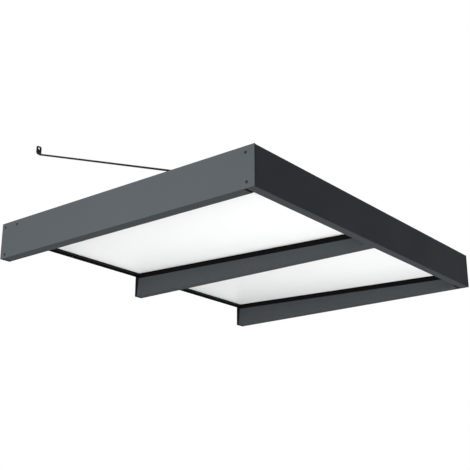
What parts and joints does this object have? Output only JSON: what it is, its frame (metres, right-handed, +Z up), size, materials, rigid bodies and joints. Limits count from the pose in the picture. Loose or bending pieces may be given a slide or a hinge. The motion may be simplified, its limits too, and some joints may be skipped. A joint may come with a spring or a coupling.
{
  "type": "door canopy",
  "caption": "Flat door canopy with a dark aluminium frame, milky panes, a front gutter profile and slim tie rods.",
  "frame": {"origin": "middle of the wall rail's back face, on the wall's surface", "axes": "+X along the wall to the right as seen from in front, +Y into the wall, +Z up"},
  "size_m": [1.2, 0.98, 0.4155],
  "materials": {
    "frame": "anthracite powder coat on aluminium, matt with a fine texture",
    "panes": "milky acrylic, smooth and slightly translucent",
    "seals": "matt black rubber",
    "shoes": "matt black moulded plastic",
    "dark_steel": "blackened steel, satin"
  },
  "bodies": {
    "root": {"side_plate_left": "frame", "side_plate_right": "frame", "front_profile": "frame", "wall_rail": "frame", "rafter_left": "frame", "rafter_middle": "frame", "rafter_right": "frame", "wall_shoe_left": "shoes", "wall_shoe_middle": "shoes", "wall_shoe_right": "shoes", "rafter_gasket_left": "seals", "rafter_gasket_middle": "seals", "rafter_gasket_right": "seals", "pane_left": "panes", "pane_right": "panes", "rail_pane_seal": "seals", "rail_wall_seal": "seals", "rail_lip_seal": "seals", "front_pane_seal": "seals", "cover_seal_left": "seals", "cover_seal_middle": "seals", "cover_seal_right": "seals", "cover_bar_left": "frame", "cover_bar_middle": "frame", "cover_bar_right": "frame", "cover_screw_left_1": "dark_steel", "cover_screw_left_2": "dark_steel", "cover_screw_left_3": "dark_steel", "cover_screw_middle_1": "dark_steel", "cover_screw_middle_2": "dark_steel", "cover_screw_middle_3": "dark_steel", "cover_screw_right_1": "dark_steel", "cover_screw_right_2": "dark_steel", "cover_screw_right_3": "dark_steel", "side_screw_rear_upper_left": "dark_steel", "side_screw_rail_front_left": "dark_steel", "side_screw_rear_lower_left": "dark_steel", "side_screw_front_upper_left": "dark_steel", "side_screw_front_lower_left": "dark_steel", "side_screw_rear_upper_right": "dark_steel", "side_screw_rail_front_right": "dark_steel", "side_screw_rear_lower_right": "dark_steel", "side_screw_front_upper_right": "dark_steel", "side_screw_front_lower_right": "dark_steel", "tie_rod_left": "dark_steel", "rod_bracket_left": "frame", "rod_bracket_screw_left": "dark_steel", "rod_bolt_left": "dark_steel", "rod_nut_left": "dark_steel", "tie_rod_right": "dark_steel", "rod_bracket_right": "frame", "rod_bracket_screw_right": "dark_steel", "rod_bolt_right": "dark_steel", "rod_nut_right": "dark_steel"}
  },
  "joints": []
}
